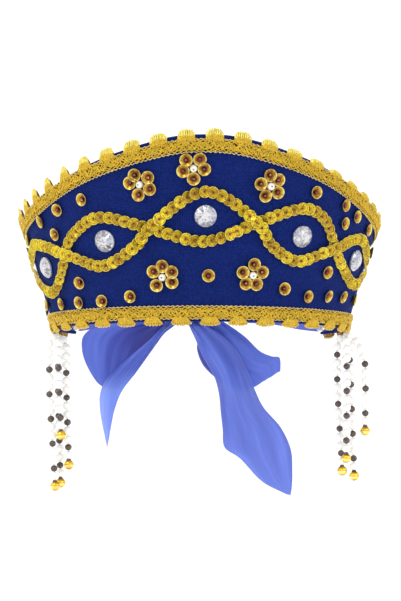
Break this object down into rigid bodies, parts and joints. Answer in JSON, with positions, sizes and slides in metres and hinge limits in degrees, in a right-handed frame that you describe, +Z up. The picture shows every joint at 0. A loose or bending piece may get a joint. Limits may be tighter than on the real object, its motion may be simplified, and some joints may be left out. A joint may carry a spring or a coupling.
{
  "type": "kokoshnik headdress with ribbon ties",
  "caption": "Flared crown-shaped cloth headdress with scalloped gold braid, sequin waves, cut stones, sequin flowers, hanging bead strands and ribbon ties in a bow.",
  "frame": {"origin": "middle of the lower rim's plane, where the crown sits on the head", "axes": "+Z up, the wearer faces -Y, +X is the right side of the picture, which is the wearer's left"},
  "size_m": [0.218, 0.213, 0.205],
  "materials": {
    "crown_cloth": "matt royal blue woven cloth over a stiffener",
    "gold_braid": "gold metallised gimp braid",
    "gold_sequin": "bright gold metallised film",
    "amber_sequin": "amber gold metallised film",
    "cut_stone": "clear cut acrylic with a silver foil back",
    "pearl_bead": "white pearl beads with dark brown and gold ones",
    "satin_ribbon": "semi-sheer periwinkle satin",
    "clear_button": "clear plastic"
  },
  "bodies": {
    "root": {"crown_shell": "crown_cloth", "top_braid": "gold_braid", "bottom_braid": "gold_braid", "sequin_string_over": "gold_sequin", "sequin_string_under": "gold_sequin", "crystal_1": "cut_stone", "crystal_2": "cut_stone", "crystal_3": "cut_stone", "crystal_4": "cut_stone", "crystal_5": "cut_stone", "flower_1": "amber_sequin", "flower_2": "amber_sequin", "flower_3": "amber_sequin", "flower_4": "amber_sequin", "flower_5": "amber_sequin", "cup_sequin_01": "amber_sequin", "cup_sequin_02": "amber_sequin", "cup_sequin_03": "amber_sequin", "cup_sequin_04": "amber_sequin", "cup_sequin_05": "amber_sequin", "cup_sequin_06": "amber_sequin", "cup_sequin_07": "amber_sequin", "cup_sequin_08": "amber_sequin", "cup_sequin_09": "amber_sequin", "cup_sequin_10": "amber_sequin", "cup_sequin_11": "amber_sequin", "cup_sequin_12": "amber_sequin", "cup_sequin_13": "amber_sequin", "cup_sequin_14": "amber_sequin", "cup_sequin_15": "amber_sequin", "cup_sequin_16": "amber_sequin", "cup_sequin_17": "amber_sequin", "cup_sequin_18": "amber_sequin", "cup_sequin_19": "amber_sequin", "cup_sequin_20": "amber_sequin", "cup_sequin_21": "amber_sequin", "cup_sequin_22": "amber_sequin", "cup_sequin_23": "amber_sequin", "cup_sequin_24": "amber_sequin", "cup_sequin_25": "amber_sequin", "cup_sequin_26": "amber_sequin", "bead_strand_left_1": "pearl_bead", "bead_strand_left_2": "pearl_bead", "bead_strand_left_3": "pearl_bead", "bead_strand_left_4": "pearl_bead", "bead_strand_right_1": "pearl_bead", "bead_strand_right_2": "pearl_bead", "bead_strand_right_3": "pearl_bead", "bead_strand_right_4": "pearl_bead", "tie_left": "satin_ribbon", "tie_right": "satin_ribbon", "bow_knot": "satin_ribbon", "bow_loop_left": "satin_ribbon", "bow_loop_right": "satin_ribbon", "bow_tail_left": "satin_ribbon", "bow_tail_right": "satin_ribbon", "ribbon_button_left": "clear_button", "ribbon_button_right": "clear_button"}
  },
  "joints": []
}
